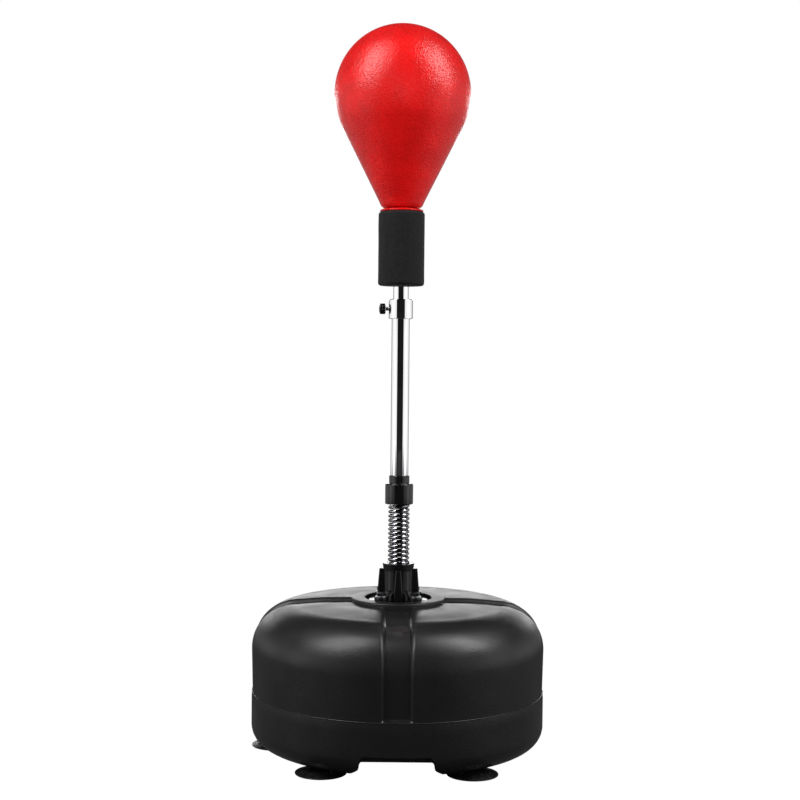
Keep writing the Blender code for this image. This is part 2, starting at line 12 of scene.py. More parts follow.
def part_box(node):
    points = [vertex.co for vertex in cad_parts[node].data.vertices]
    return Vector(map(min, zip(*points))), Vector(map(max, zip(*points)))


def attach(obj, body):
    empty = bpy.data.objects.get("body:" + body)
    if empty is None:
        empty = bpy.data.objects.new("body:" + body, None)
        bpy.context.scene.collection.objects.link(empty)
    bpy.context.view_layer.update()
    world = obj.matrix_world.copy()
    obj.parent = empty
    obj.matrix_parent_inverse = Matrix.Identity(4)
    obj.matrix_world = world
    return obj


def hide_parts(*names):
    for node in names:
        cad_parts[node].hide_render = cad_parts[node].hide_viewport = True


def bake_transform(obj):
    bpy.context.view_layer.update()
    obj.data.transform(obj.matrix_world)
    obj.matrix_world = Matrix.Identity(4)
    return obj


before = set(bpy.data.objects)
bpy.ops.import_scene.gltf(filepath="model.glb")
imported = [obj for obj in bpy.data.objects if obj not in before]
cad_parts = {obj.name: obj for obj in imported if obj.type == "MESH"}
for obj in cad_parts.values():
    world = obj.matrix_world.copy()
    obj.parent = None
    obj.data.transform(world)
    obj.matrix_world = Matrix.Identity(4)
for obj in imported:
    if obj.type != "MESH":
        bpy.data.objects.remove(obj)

bl_info = {
    "name": "Boxing Ball Stand",
    "version": (1, 0, 0),
    "blender": (4, 5, 0),
    "location": "View3D > Sidebar > Boxing Ball",
    "description": "Builds a free-standing boxing ball over its CAD frame",
    "category": "Add Mesh",
}

GAP = 0.0003

# Base: the drum's own sizes that its box doesn't give
SEAM_HEIGHT = 0.0920
SHOULDER_RADIUS = 0.070
DECK_DROP = 0.0060  # from the ring's top to the deck
DECK_FLAT = 0.110  # radius out to which the deck is flat
DECK_SAG = 0.0030
DECK_GROOVE = 0.65  # share of the grooves' depth on the deck, but for the rear one with the filler
GROOVE_ROUNDING = 0.0090
FOOT_HEIGHT = 0.010
FOOT_ROUNDING = 0.030
UNDERSIDE_HEIGHT = 0.025
LOBE_COLUMNS = 18  # mesh columns between two grooves
RING_RADIUS = 0.073
WELL_RADIUS = 0.0525
WELL_DEPTH = 0.0115
NOTCH_WIDTH = 0.104
NOTCH_HEIGHT = 0.043
NOTCH_WALL = 0.185
MOUTH_CUT_RADIUS = 0.0139  # of the filler hole
MOUTH_CUT_DEPTH = 0.075

# Spring socket, its bolts, and the collar over the spring
BOLT_CIRCLE = 0.038
BOLT_RADIUS = 0.0040
BOLT_PITCH = 0.00125
BOLT_HEAD_HEIGHT = 0.0055
BOLT_HEAD_RADIUS = 0.0072
THREAD_DEPTH = 0.4  # share of a thread's pitch
WASHER_THICKNESS = 0.0014
FLANGE_RADIUS = 0.0500
FLANGE_THICKNESS = 0.0060
SOCKET_RADIUS = 0.0235
SPRING_BORE = 0.0175
SPRING_BORE_DEPTH = 0.0430
COLLAR_STEP = 0.0322

# Spring
WIRE_RADIUS = 0.0031
SPRING_TURNS = 23
LOWER_TURNS = 12.5

# Tubes and clamp
LOWER_TUBE_BORE = 0.0128
UPPER_TUBE_BORE = 0.0110
CLAMP_SCREW_RADIUS = 0.0030
CLAMP_SCREW_PITCH = 0.0010
# Lays a spun shape along -X at the clamp's height, its heights counted outwards
CLAMP_TURN = Matrix.Translation((0, 0, 0.6881)) @ Matrix.Rotation(-math.pi / 2, 4, "Y")

# Stage
STAGE_CENTRE = 0.95
# Each softbox's azimuth, elevation, distance, width, height and radiance, and the rays that miss it
SOFTBOXES = (
    ("key_left", 54, 42, 1.8, 0.90, 1.20, 6.5, "visible_glossy"),
    ("key_right", -60, 38, 1.8, 0.75, 1.10, 6.5, "visible_glossy"),
    ("front_fill", 0, 0, 2.4, 1.60, 1.60, 3.5, "visible_glossy"),
    ("glint_left", 62, 40, 1.9, 0.60, 1.70, 18.0, "visible_diffuse"),
    ("glint_right", -74, 38, 1.9, 0.55, 1.70, 18.0, "visible_diffuse"),
    ("strip_left", 74, -16, 1.5, 0.30, 1.00, 1.5, None),
    ("strip_right", -78, -16, 1.5, 0.30, 1.00, 1.5, None),
    ("back_card", 180, 7.2, 12, 14, 1.1, 7.0, None),
)
# The cove's brightness from the front, 0, to the back, 1
COVE_STOPS = ((0.105, 0.01), (0.125, 1.0), (0.76, 1.0), (0.82, 0.40))
FLOOR_REACH = 40
FLOOR_GLOW = 0.12
CAMERA_PLACE = (0, -2.30, 0.62)
CAMERA_LENS = 66.1
CAMERA_DIP = 1.85
CAMERA_ROLL = 0.53

# Ball
BALL_CENTRE_HEIGHT = 1.0215
CONE_ANGLE = 26.6
BALL_NECK_RADIUS = 0.0270
MOUTH_RADIUS = 0.0155
SKIN_THICKNESS = 0.0025

# Foam sleeve
SLEEVE_ROUNDING = 0.0045
SLIT_ANGLE = -90 - 39


def low(name):
    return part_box(name)[0]


def high(name):
    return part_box(name)[1]


def middle_of(name):
    return (low(name) + high(name)) / 2


# ---------------------------------------------------------------- sizes and colours


class BALLSTAND_PG_colours(bpy.types.PropertyGroup):
    """The finishes that a user would change."""

    leather: bpy.props.StringProperty(
        name="Leather", description="Colour of the ball, as a hex value", default="D81212"
    )
    plastic: bpy.props.StringProperty(
        name="Base plastic", description="Colour of the base, as a hex value", default="191919"
    )
    foam: bpy.props.StringProperty(
        name="Foam", description="Colour of the sleeve, as a hex value", default="131314"
    )


class BALLSTAND_PG_sizes(bpy.types.PropertyGroup):
    """The sizes that a user would change."""

    channel_depth: bpy.props.FloatProperty(
        name="Groove depth", description="Depth of the base's four grooves",
        default=0.0080, min=0.001, max=0.012, subtype="DISTANCE", unit="LENGTH",
    )
    channel_half_width: bpy.props.FloatProperty(
        name="Groove half width", description="From a groove's middle to the foot of its wall",
        default=0.0176, min=0.010, max=0.022, subtype="DISTANCE", unit="LENGTH",
    )
    grain: bpy.props.FloatProperty(
        name="Leather grain", description="Distance between the leather's pebbles",
        default=0.0026, min=0.001, max=0.01, subtype="DISTANCE", unit="LENGTH",
    )
    cup_ribs: bpy.props.IntProperty(
        name="Cup ribs", description="Ribs on the top of each suction cup", default=16, min=4, max=40
    )


def sizes():
    return bpy.context.scene.ballstand_sizes


def colours():
    return bpy.context.scene.ballstand_colours


# ---------------------------------------------------------------- materials


def linear(code):
    """An sRGB hex value as linear RGBA."""
    values = []
    for start in (0, 2, 4):
        value = int(code[start:start + 2], 16) / 255
        values.append(value / 12.92 if value <= 0.04045 else ((value + 0.055) / 1.055) ** 2.4)
    return (*values, 1.0)


def add_node(tree, kind, links=(), inputs=(), **settings):
    """Add a node, set its properties and inputs, and link (input, source socket) pairs."""
    node = tree.nodes.new(kind)
    for name, value in settings.items():
        setattr(node, name, value)
    for name, value in inputs:
        node.inputs[name].default_value = value
    for name, source in links:
        tree.links.new(source, node.inputs[name])
    return node


def material(name, base, roughness, metallic=0.0, sheen=0.0, specular=0.5):
    """A Principled material with its uniform values on the shader's own sockets."""
    made = bpy.data.materials.new(name)
    made.use_nodes = True
    shader = made.node_tree.nodes["Principled BSDF"]
    for socket, value in (
        ("Base Color", linear(base)), ("Roughness", roughness), ("Metallic", metallic),
        ("Sheen Weight", sheen), ("Specular IOR Level", specular),
    ):
        shader.inputs[socket].default_value = value
    return made, made.node_tree, shader


def bump(tree, shader, height, distance, strength=1.0, under=None):
    links = [("Height", height)]
    if under:
        links.append(("Normal", under))
    node = add_node(
        tree, "ShaderNodeBump", links=links, inputs=[("Distance", distance), ("Strength", strength)]
    )
    tree.links.new(node.outputs["Normal"], shader.inputs["Normal"])
    return node.outputs["Normal"]


def noise_texture(tree, spacing, detail=2.0, stretch=(1, 1, 1)):
    """Noise on object coordinates, with its features about spacing apart."""
    place = add_node(tree, "ShaderNodeTexCoord")
    turned = add_node(
        tree, "ShaderNodeMapping", links=[("Vector", place.outputs["Object"])], inputs=[("Scale", stretch)]
    )
    return add_node(
        tree, "ShaderNodeTexNoise", links=[("Vector", turned.outputs["Vector"])],
        inputs=[("Scale", 1 / spacing), ("Detail", detail)],
    ).outputs["Fac"]


def spread(tree, value, low_value, high_value, start=0.3, end=0.7):
    """Map a 0 to 1 texture onto a range."""
    return add_node(
        tree, "ShaderNodeMapRange", links=[("Value", value)],
        inputs=[("From Min", start), ("From Max", end), ("To Min", low_value), ("To Max", high_value)],
    ).outputs["Result"]


def ramp(tree, factor, *stops):
    """A colour ramp through (position, colour) stops."""
    node = add_node(tree, "ShaderNodeValToRGB", links=[("Fac", factor)])
    elements = node.color_ramp.elements
    for index, (position, colour) in enumerate(stops):
        stop = elements[index] if index < 2 else elements.new(position)
        stop.position, stop.color = position, colour
    return node.outputs["Color"]


def two_tone(tree, shader, factor, dark, light):
    tones = ramp(tree, factor, (0.3, linear(dark)), (0.7, linear(light)))
    tree.links.new(tones, shader.inputs["Base Color"])


def shade(code, factor):
    """A hex colour made lighter or darker."""
    parts = [min(255, round(int(code[start:start + 2], 16) * factor)) for start in (0, 2, 4)]
    return "".join(f"{part:02X}" for part in parts)


def polyethylene():
    """Blow-moulded polyethylene: a satin black with the fine grain of a spark-eroded mould."""
    code = colours().plastic
    made, tree, shader = material("Black polyethylene", code, 0.38, specular=0.32)
    grain = noise_texture(tree, 0.0016, detail=3.0)
    waves = noise_texture(tree, 0.045, detail=1.0)
    two_tone(tree, shader, grain, shade(code, 0.86), shade(code, 1.14))
    tree.links.new(spread(tree, waves, 0.33, 0.41), shader.inputs["Roughness"])
    broad = bump(tree, shader, waves, 0.0006, 0.5)
    bump(tree, shader, grain, 0.00035, 0.6, under=broad)
    return made


# Finishes of one noise pattern. Name, colour, roughness, metallic and specular level of the shader, then
# the pattern's size, detail and stretch, the roughness it spreads over, two colours, and its bump.
PLAIN_FINISHES = {
    # Injection-moulded ABS from a polished mould: deep black with clear reflections
    "gloss": (("Gloss black ABS", "0D0D0E", 0.22, 0.0, 0.40),
              (0.012, 1.0, (1, 1, 1)), (0.18, 0.27), None, (0.0001, 0.3)),
    # Bright chromium plate on steel: a mirror with a trace of polishing haze
    "chrome": (("Chromium plate", "F2F2F4", 0.03, 1.0, 0.5),
               (0.006, 3.0, (1, 1, 0.15)), (0.015, 0.045), None, None),
    # Thin chromium plate on drawn spring wire: a darker, hazier mirror than the tubes
    "plated wire": (("Chromed spring wire", "9C9CA0", 0.10, 1.0, 0.5),
                    (0.004, 3.0, (1, 1, 1)), (0.08, 0.15), None, None),
    # Bright zinc plate on turned steel: soft grey with fine turning marks
    "zinc": (("Zinc-plated steel", "B9BCC0", 0.30, 1.0, 0.5),
             (0.0010, 2.0, (0.15, 0.15, 3)), (0.24, 0.38), None, (0.00005, 0.5)),
    # Steel bolts with a black oxide finish: dark, slightly oily and mottled
    "black steel": (("Black oxide steel", "17171A", 0.32, 0.6, 0.5),
                    (0.003, 3.0, (1, 1, 1)), (0.26, 0.40), ("121214", "1F1F23"), None),
    # Turned brass: warm yellow with fine tool marks
    "brass": (("Turned brass", "C9A24E", 0.28, 1.0, 0.5),
              (0.0010, 2.0, (0.2, 0.2, 3)), (0.22, 0.36), None, None),
    # Moulded natural rubber, black: half-matt, with a faint bloom
    "rubber": (("Black rubber", "0E0E0F", 0.40, 0.0, 0.5),
               (0.008, 3.0, (1, 1, 1)), (0.34, 0.50), ("0B0B0C", "131314"), (0.0001, 0.3)),
    # Dipped natural latex: a dull amber skin
    "latex": (("Dipped latex", "C9A57A", 0.5, 0.0, 0.5),
              (0.010, 2.0, (1, 1, 1)), None, ("BF9A6E", "D2B088"), None),
}


def plain_finish(look):
    """A material from the table above."""
    (name, base, roughness, metallic, specular), pattern, rough_range, tones, relief = PLAIN_FINISHES[look]
    made, tree, shader = material(name, base, roughness, metallic, specular=specular)
    spacing, detail, stretch = pattern
    marks = noise_texture(tree, spacing, detail, stretch)
    if tones:
        two_tone(tree, shader, marks, *tones)
    if rough_range:
        tree.links.new(spread(tree, marks, *rough_range), shader.inputs["Roughness"])
    if relief:
        bump(tree, shader, marks, *relief)
    return made


def cell_foam():
    """Closed-cell rubber foam with a skin: charcoal, matt, and peppered with fine cells."""
    code = colours().foam
    made, tree, shader = material("Charcoal cell foam", code, 0.80, sheen=0.05, specular=0.12)
    shader.inputs["Sheen Roughness"].default_value = 0.5
    cells = noise_texture(tree, 0.0020, detail=3.0)
    streaks = noise_texture(tree, 0.0045, detail=2.0, stretch=(1, 1, 0.6))
    two_tone(tree, shader, cells, shade(code, 0.50), shade(code, 1.75))
    broad = bump(tree, shader, streaks, 0.0006, 0.6)
    bump(tree, shader, cells, 0.0006, 0.8, under=broad)
    tree.links.new(spread(tree, cells, 0.70, 0.92), shader.inputs["Roughness"])
    return made


def leatherette():
    """PU leatherette, red: an embossed pebble grain under a soft gloss."""
    code = colours().leather
    made, tree, shader = material("Red PU leatherette", code, 0.30, specular=0.22)
    place = add_node(tree, "ShaderNodeTexCoord")
    wander = add_node(
        tree, "ShaderNodeTexNoise", links=[("Vector", place.outputs["Object"])],
        inputs=[("Scale", 1 / 0.009), ("Detail", 2.0)],
    )
    shift = add_node(
        tree, "ShaderNodeVectorMath", operation="MULTIPLY_ADD",
        links=[(0, wander.outputs["Color"]), (2, place.outputs["Object"])],
    )
    shift.inputs[1].default_value = (0.0030, 0.0030, 0.0030)
    pebbles = add_node(
        tree, "ShaderNodeTexVoronoi", links=[("Vector", shift.outputs["Vector"])],
        inputs=[("Scale", 1 / sizes().grain), ("Smoothness", 0.6)], feature="SMOOTH_F1",
    ).outputs["Distance"]
    fine = noise_texture(tree, 0.0010, detail=2.0)
    folds = noise_texture(tree, 0.035, detail=1.0)
    two_tone(tree, shader, folds, shade(code, 0.95), shade(code, 1.04))
    tree.links.new(spread(tree, pebbles, 0.26, 0.36), shader.inputs["Roughness"])
    broad = bump(tree, shader, folds, 0.0010, 0.35)
    pebbled = bump(tree, shader, spread(tree, pebbles, 1.0, 0.0, 0.0, 0.7), 0.0006, 0.60, under=broad)
    bump(tree, shader, fine, 0.00010, 0.3, under=pebbled)
    return made


FINISHES = {"plastic": polyethylene, "foam": cell_foam, "leather": leatherette}
made_finishes = {}


def finish(name):
    """The material of that finish, made once."""
    if name not in made_finishes:
        made_finishes[name] = FINISHES[name]() if name in FINISHES else plain_finish(name)
    return made_finishes[name]


# ---------------------------------------------------------------- mesh helpers


def arc(centre, radius, start, end, count):
    points = []
    for step in range(count + 1):
        angle = math.radians(start + (end - start) * step / count)
        points.append((centre[0] + radius * math.cos(angle), centre[1] + radius * math.sin(angle)))
    return points


def filleted(corners, closed=False, steps=5):
    """Round an outline's corners. Each corner is (radius, height) or (radius, height, fillet)."""
    count = len(corners)
    points = []
    for index, corner in enumerate(corners):
        here = Vector(corner[:2])
        if len(corner) == 2 or (not closed and index in (0, count - 1)):
            points.append(tuple(here))
            continue
        before = (Vector(corners[index - 1][:2]) - here)
        after = (Vector(corners[(index + 1) % count][:2]) - here)
        half = before.angle(after) / 2
        back = min(corner[2] / math.tan(half), before.length * 0.49, after.length * 0.49)
        start = here + before.normalized() * back
        end = here + after.normalized() * back
        for step in range(steps + 1):
            t = step / steps
            points.append(tuple(start * (1 - t) ** 2 + here * 2 * t * (1 - t) + end * t * t))
    return points


def spun(outline, steps, closed=False):
    """Spin an outline of (radius, height) points about +Z into a bmesh."""
    shape = bmesh.new()
    corners = [shape.verts.new((max(point[0], 0), 0, point[1])) for point in outline]
    pairs = list(zip(corners, corners[1:]))
    if closed:
        pairs.append((corners[-1], corners[0]))
    edges = [shape.edges.new(pair) for pair in pairs]
    bmesh.ops.spin(
        shape, geom=corners + edges, cent=(0, 0, 0), axis=(0, 0, 1),
        angle=math.tau, steps=steps, use_merge=True,
    )
    bmesh.ops.remove_doubles(shape, verts=shape.verts, dist=1e-6)
    bmesh.ops.recalc_face_normals(shape, faces=shape.faces)
    return shape


def linked(name, data):
    """A new object that is in the scene."""
    made = bpy.data.objects.new(name, data)
    bpy.context.collection.objects.link(made)
    return made


def sharpen(piece, degrees=40):
    piece.data.set_sharp_from_angle(angle=math.radians(degrees))


def as_object(name, shape, look, sharp=40):
    """A finished mesh object at the origin, shaded smooth except over sharp edges."""
    mesh = bpy.data.meshes.new(name)
    shape.to_mesh(mesh)
    shape.free()
    mesh.shade_smooth()
    mesh.materials.append(finish(look))
    piece = linked(name, mesh)
    sharpen(piece, sharp)
    return piece


def turned(name, corners, look, steps=96, closed=True, fillet_steps=5):
    """A finished object spun from corners like those of filleted."""
    outline = filleted(corners, closed=closed, steps=fillet_steps)
    return as_object(name, spun(outline, steps, closed=closed), look)


def flattened(piece, name=None):
    """The piece with its modifiers applied, as a new plain mesh object."""
    piece.update_tag()
    bpy.context.view_layer.update()
    evaluated = piece.evaluated_get(bpy.context.evaluated_depsgraph_get())
    mesh = bpy.data.meshes.new_from_object(evaluated)
    plain = bpy.data.objects.new(name or piece.name, mesh)
    bpy.data.objects.remove(piece, do_unlink=True)
    plain.name = name or plain.name
    bpy.context.collection.objects.link(plain)
    return plain


def cut(piece, cutter):
    modifier = piece.modifiers.new("cut", "BOOLEAN")
    modifier.operation = "DIFFERENCE"
    modifier.object = cutter
    modifier.solver = "EXACT"
    done = flattened(piece, piece.name)
    bpy.data.objects.remove(cutter, do_unlink=True)
    return done


def settle(piece, body, slot, *nodes):
    """Put a finished piece on its CAD body, in place of its CAD nodes."""
    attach(piece, body)
    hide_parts(*nodes)
    return piece


def block(inner, top_reach, foot_reach, bottom, top, half_top, half_foot, edge=0.0006):
    """A tapered block that stands out along +X, with rounded edges."""
    shape = bmesh.new()
    corners = []
    for reach, half, height in ((foot_reach, half_foot, bottom), (top_reach, half_top, top)):
        for x, y in ((inner, -half), (reach, -half), (reach, half), (inner, half)):
            corners.append(shape.verts.new((x, y, height)))
    for face in ((3, 2, 1, 0), (4, 5, 6, 7), (0, 1, 5, 4), (1, 2, 6, 5), (2, 3, 7, 6), (3, 0, 4, 7)):
        shape.faces.new([corners[index] for index in face])
    bmesh.ops.bevel(
        shape, geom=list(shape.edges), offset=edge, segments=3, profile=0.5, affect="EDGES",
    )
    bmesh.ops.recalc_face_normals(shape, faces=shape.faces)
    return shape


def moved(shape, offset):
    bmesh.ops.translate(shape, verts=shape.verts, vec=offset)
    return shape


# ---------------------------------------------------------------- geometry node trees


def new_tree(name, inputs):
    """A geometry node group with named inputs and one geometry output."""
    tree = bpy.data.node_groups.new(name, "GeometryNodeTree")
    for label, kind, default in inputs:
        socket = tree.interface.new_socket(label, in_out="INPUT", socket_type=kind)
        if default is not None:
            socket.default_value = default
    tree.interface.new_socket("Geometry", in_out="OUTPUT", socket_type="NodeSocketGeometry")
    return tree, add_node(tree, "NodeGroupInput")


def run_tree(name, tree, values, place=None):
    """Run a tree on a bare object, with inputs set by their sockets' identifiers, and keep the mesh."""
    carrier = linked(name, bpy.data.meshes.new(name))
    modifier = carrier.modifiers.new(tree.name, "NODES")
    modifier.node_group = tree
    known = {item.name: item.identifier for item in tree.interface.items_tree if item.in_out == "INPUT"}
    for label, value in values.items():
        modifier[known[label]] = value
    plain = flattened(carrier, name)
    if place is not None:
        plain.data.transform(place)
    return plain


def end_tree(tree, given, geometry):
    """Finish a tree: real geometry, its material, and the output."""
    real = add_node(tree, "GeometryNodeRealizeInstances", links=[("Geometry", geometry)])
    painted = add_node(
        tree, "GeometryNodeSetMaterial",
        links=[("Geometry", real.outputs[0]), ("Material", given.outputs["Material"])],
    )
    add_node(tree, "NodeGroupOutput", links=[("Geometry", painted.outputs[0])])
    return tree


def copies_tree():
    """Copies of one source piece, turned about +Z and evenly spaced."""
    tree, given = new_tree(
        "Copies round the axis",
        [
            ("Source", "NodeSocketObject", None), ("Count", "NodeSocketInt", 4),
            ("First angle", "NodeSocketFloat", 0.0), ("Material", "NodeSocketMaterial", None),
        ],
    )
    source = add_node(tree, "GeometryNodeObjectInfo", links=[("Object", given.outputs["Source"])])
    points = add_node(tree, "GeometryNodePoints", links=[("Count", given.outputs["Count"])])
    index = add_node(tree, "GeometryNodeInputIndex")
    step = add_node(
        tree, "ShaderNodeMath", operation="DIVIDE", links=[(1, given.outputs["Count"])],
        inputs=[(0, math.tau)],
    )
    angle = add_node(
        tree, "ShaderNodeMath", operation="MULTIPLY_ADD",
        links=[(0, index.outputs[0]), (1, step.outputs[0]), (2, given.outputs["First angle"])],
    )
    turn = add_node(tree, "ShaderNodeCombineXYZ", links=[("Z", angle.outputs[0])])
    placed = add_node(
        tree, "GeometryNodeInstanceOnPoints",
        links=[
            ("Points", points.outputs[0]), ("Instance", source.outputs["Geometry"]),
            ("Rotation", turn.outputs[0]),
        ],
    )
    return end_tree(tree, given, placed.outputs[0])


def coil_tree():
    """A round wire wound on a helix, with flat ends."""
    tree, given = new_tree(
        "Coil of round wire",
        [
            ("Coil radius", "NodeSocketFloat", 0.0139), ("Wire radius", "NodeSocketFloat", 0.0031),
            ("Turns", "NodeSocketFloat", 10.0), ("Height", "NodeSocketFloat", 0.07),
            ("Material", "NodeSocketMaterial", None),
        ],
    )
    helix = add_node(
        tree, "GeometryNodeCurveSpiral",
        links=[
            ("Rotations", given.outputs["Turns"]), ("Start Radius", given.outputs["Coil radius"]),
            ("End Radius", given.outputs["Coil radius"]), ("Height", given.outputs["Height"]),
        ],
        inputs=[("Resolution", 40), ("Reverse", True)],
    )
    section = add_node(
        tree, "GeometryNodeCurvePrimitiveCircle", links=[("Radius", given.outputs["Wire radius"])],
        inputs=[("Resolution", 16)],
    )
    wire = add_node(
        tree, "GeometryNodeCurveToMesh",
        links=[("Curve", helix.outputs[0]), ("Profile Curve", section.outputs[0])],
        inputs=[("Fill Caps", True)],
    )
    smooth = add_node(tree, "GeometryNodeSetShadeSmooth", links=[("Geometry", wire.outputs[0])])
    return end_tree(tree, given, smooth.outputs[0])


def copies(name, shape, count, first_angle, look, sharp=40):
    """One mesh with a shape copied round the axis by geometry nodes."""
    source = as_object(f"{name}_source", shape, look, sharp)
    tree = bpy.data.node_groups.get("Copies round the axis") or copies_tree()
    made = run_tree(name, tree, {
        "Source": source, "Count": count, "First angle": math.radians(first_angle),
        "Material": finish(look),
    })
    bpy.data.objects.remove(source, do_unlink=True)
    return made


def merged(name, pieces):
    """Several mesh objects as one."""
    whole = bmesh.new()
    for piece in pieces:
        whole.from_mesh(piece.data)
    look = pieces[0].data.materials[0]
    mesh = bpy.data.meshes.new(name)
    whole.to_mesh(mesh)
    whole.free()
    for piece in pieces:
        bpy.data.objects.remove(piece, do_unlink=True)
    mesh.materials.append(look)
    return linked(name, mesh)


# ---------------------------------------------------------------- the base


def sag(radius):
    """How far the deck and shoulder droop below a flat deck: most where the deck turns over."""
    edge = high("base_shell").x - SHOULDER_RADIUS
    if radius <= DECK_FLAT:
        return 0.0
    if radius <= edge:
        return DECK_SAG * ((radius - DECK_FLAT) / (edge - DECK_FLAT)) ** 1.5
    return DECK_SAG * (1 - ((radius - edge) / SHOULDER_RADIUS) ** 2)


def drum_outline():
    """The drum's half section from the well's floor, over the deck and down to the underside.

    Each point is (radius, height, groove share), where the share says how much of the groove's
    depth the point takes.
    """
    radius = high("base_shell").x
    ring_top = high("base_shell").z
    deck = ring_top - DECK_DROP
    shoulder = deck - SHOULDER_RADIUS
    well_floor = ring_top - WELL_DEPTH
    points = [(0.001, well_floor, 0), (0.030, well_floor, 0)]
    lip = filleted([
        (0.045, well_floor), (WELL_RADIUS, well_floor, 0.002), (WELL_RADIUS, ring_top, 0.0012),
        (RING_RADIUS, ring_top, 0.0022), (RING_RADIUS, deck + 0.0010),
    ])
    points += [(r, h, 0) for r, h in lip]
    inner, outer = RING_RADIUS + 0.0004, radius - SHOULDER_RADIUS
    for step in range(15):
        t = step / 14
        points.append((inner + (outer - inner) * t, deck + 0.0008 * (1 - t), 1))
    for r, h in arc((outer, shoulder), SHOULDER_RADIUS, 90, 0, 26)[1:]:
        points.append((r, h, 1))
    points = [(r, h - sag(r) if share else h, share) for r, h, share in points]
    seam_radius = radius - 0.0014
    wall_foot = SEAM_HEIGHT + 0.0050
    for step in range(1, 12):
        t = step / 11
        points.append((radius + (seam_radius - radius) * t, shoulder + (wall_foot - shoulder) * t, 1))
    for rise, share in ((0.0036, 1), (0.0026, 0.94), (0.0018, 0.55), (0.0010, 0.1), (0.0006, 0)):
        points.append((seam_radius, SEAM_HEIGHT + rise, share))
    bead = arc((seam_radius + 0.0002, SEAM_HEIGHT), 0.0009, 90, -60, 5)
    points += [(r, h, 0) for r, h in bead]
    foot = (radius - FOOT_ROUNDING, FOOT_HEIGHT + FOOT_ROUNDING)
    for step in range(1, 8):
        points.append((radius, SEAM_HEIGHT - 0.0008 + (foot[1] - SEAM_HEIGHT) * step / 7, 0))
    points += [(r, h, 0) for r, h in arc(foot, FOOT_ROUNDING, 0, -90, 14)[1:]]
    under = filleted([
        (0.190, FOOT_HEIGHT), (0.1540, FOOT_HEIGHT, 0.003), (0.1500, UNDERSIDE_HEIGHT, 0.003),
        (0.120, UNDERSIDE_HEIGHT), (0.060, UNDERSIDE_HEIGHT), (0.001, UNDERSIDE_HEIGHT),
    ])
    points += [(r, h, 0) for r, h in under]
    return points


def groove_share(offset):
    """How deep the groove is, from 1 to 0, at a distance from its middle."""
    half = sizes().channel_half_width
    if offset <= half:
        return 1.0
    return max(0.0, 1 - (offset - half) / GROOVE_ROUNDING) ** 2.5


def drum_columns(radius):
    """The angles of the mesh's columns at one radius: close together at the grooves' edges."""
    half = sizes().channel_half_width
    offsets = [0, 0.006, 0.012, half - 0.0016, half - 0.0002]
    edge_steps = (0, 0.0005, 0.0011, 0.0018, 0.0026, 0.0036, 0.0048, 0.0060, 0.0075, 0.0095)
    offsets += [half + step for step in edge_steps]
    reach = max(radius, RING_RADIUS)
    right = [(math.asin(offset / reach), offset) for offset in offsets]
    last = right[-1][0]
    gap = math.pi / 2 - 2 * last
    between = [(last + gap * step / LOBE_COLUMNS, 1.0) for step in range(1, LOBE_COLUMNS)]
    left = [(-angle, offset) for angle, offset in reversed(right[1:])]
    columns = []
    for quarter in range(4):
        turn = quarter * math.pi / 2
        columns += [(turn + angle, offset) for angle, offset in left + right + between]
    return columns


def drum_shape():
    outline = drum_outline()
    depth = sizes().channel_depth
    shape = bmesh.new()
    rows = []
    for index, (radius, height, share) in enumerate(outline):
        before = Vector(outline[max(index - 1, 0)][:2])
        after = Vector(outline[min(index + 1, len(outline) - 1)][:2])
        along = (after - before).normalized()
        outward = Vector((-along.y, along.x))
        if share and radius < high("base_shell").x - SHOULDER_RADIUS + 0.0005:
            outward = Vector((0, 1))
        row = []
        on_deck = share and radius < high("base_shell").x - SHOULDER_RADIUS * 0.7
        for angle, offset in drum_columns(radius):
            rear = math.sin(angle) > 0.7
            level = share * (DECK_GROOVE if on_deck and not rear else 1.0)
            sink = depth * level * groove_share(offset)
            r = radius - outward.x * sink
            h = height - outward.y * sink
            row.append(shape.verts.new((r * math.cos(angle), r * math.sin(angle), h)))
        rows.append(row)
    count = len(rows[0])
    for upper, lower in zip(rows, rows[1:]):
        for index in range(count):
            following = (index + 1) % count
            shape.faces.new((upper[index], lower[index], lower[following], upper[following]))
    shape.faces.new(rows[0])
    shape.faces.new(list(reversed(rows[-1])))
    bmesh.ops.recalc_face_normals(shape, faces=shape.faces)
    return shape


def notch_cutter():
    """The grip notch in the front: rounded upper corners and a flared foot."""
    half = NOTCH_WIDTH / 2
    side = filleted([
        (0, NOTCH_HEIGHT), (half, NOTCH_HEIGHT, 0.009), (half + 0.003, 0.022, 0.008),
        (half + 0.019, 0.0085), (half + 0.019, -0.010),
    ], steps=6)
    ledge = filleted([
        (0, UNDERSIDE_HEIGHT), (half + 0.001, UNDERSIDE_HEIGHT, 0.004), (half + 0.003, 0.020, 0.004),
        (half + 0.016, 0.0085), (half + 0.016, -0.010),
    ], steps=6)
    pieces = []
    for outline, near, far in ((side, -0.26, -NOTCH_WALL), (ledge, -NOTCH_WALL - 0.001, -0.140)):
        whole = outline + [(-x, z) for x, z in reversed(outline) if x > 1e-9]
        shape = bmesh.new()
        face = shape.faces.new([shape.verts.new((x, near, z)) for x, z in whole])
        pushed = bmesh.ops.extrude_face_region(shape, geom=[face])
        moved_verts = [item for item in pushed["geom"] if isinstance(item, bmesh.types.BMVert)]
        bmesh.ops.translate(shape, verts=moved_verts, vec=(0, far - near, 0))
        bmesh.ops.recalc_face_normals(shape, faces=shape.faces)
        pieces.append(as_object("notch_cutter", shape, "plastic"))
    return pieces


